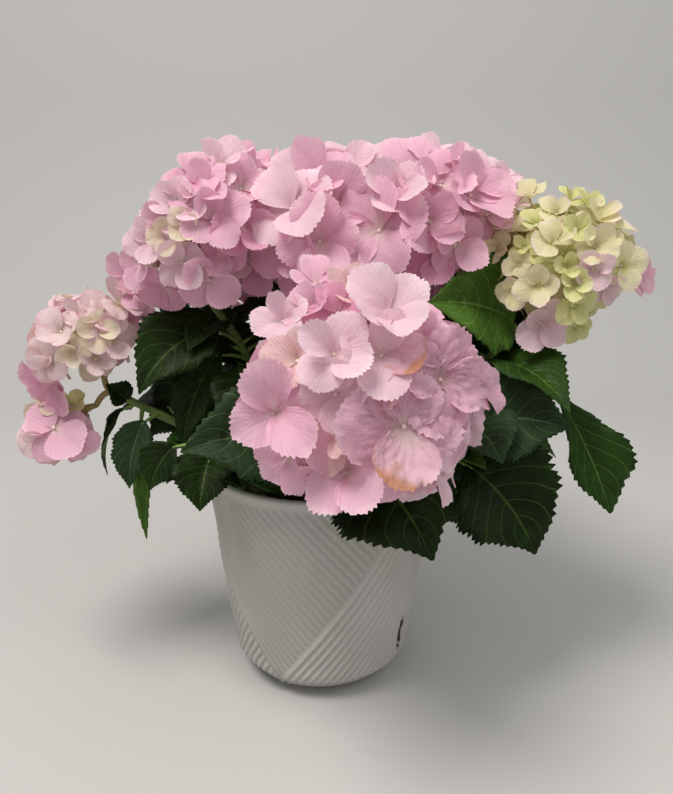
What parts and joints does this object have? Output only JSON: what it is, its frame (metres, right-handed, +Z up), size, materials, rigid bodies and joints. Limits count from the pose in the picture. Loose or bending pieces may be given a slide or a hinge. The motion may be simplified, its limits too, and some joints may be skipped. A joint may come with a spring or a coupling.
{
  "type": "potted mophead hydrangea",
  "caption": "Mophead hydrangea with pink and cream flower heads over dark leaves, in a tapered pale pot with diagonal ribs.",
  "frame": {"origin": "middle of the pot's flat underside", "axes": "+Z up the pot, -Y towards the side that shows the large pink head, +X to its right"},
  "size_m": [0.4043, 0.3471, 0.3714],
  "materials": {
    "pot": "matt pale ceramic with shallow diagonal ribs",
    "potting_mix": "rough dark potting mix",
    "cane": "green-brown, slightly ridged cane",
    "foliage": "satin dark green leaves",
    "pink_bloom": "soft matt pink sepals",
    "cream_bloom": "soft matt cream-green sepals"
  },
  "bodies": {
    "root": {"pot": "pot", "soil": "potting_mix", "cane_front": "cane", "cane_top": "cane", "cane_upper_left": "cane", "cane_left": "cane", "cane_right": "cane", "cane_back_left": "cane", "cane_back_right": "cane", "cane_right_low": "cane", "cane_left_low": "cane", "cane_back_low": "cane", "shoot_front": "foliage", "shoot_top": "foliage", "shoot_upper_left": "foliage", "shoot_left": "foliage", "shoot_right": "foliage", "shoot_back_left": "foliage", "shoot_back_right": "foliage", "shoot_right_low": "foliage", "shoot_left_low": "foliage", "shoot_back_low": "foliage", "head_front": "pink_bloom", "head_top": "pink_bloom", "head_upper_left": "pink_bloom", "head_left": "pink_bloom", "head_right": "cream_bloom", "head_back_left": "pink_bloom", "head_back_right": "pink_bloom"}
  },
  "joints": []
}
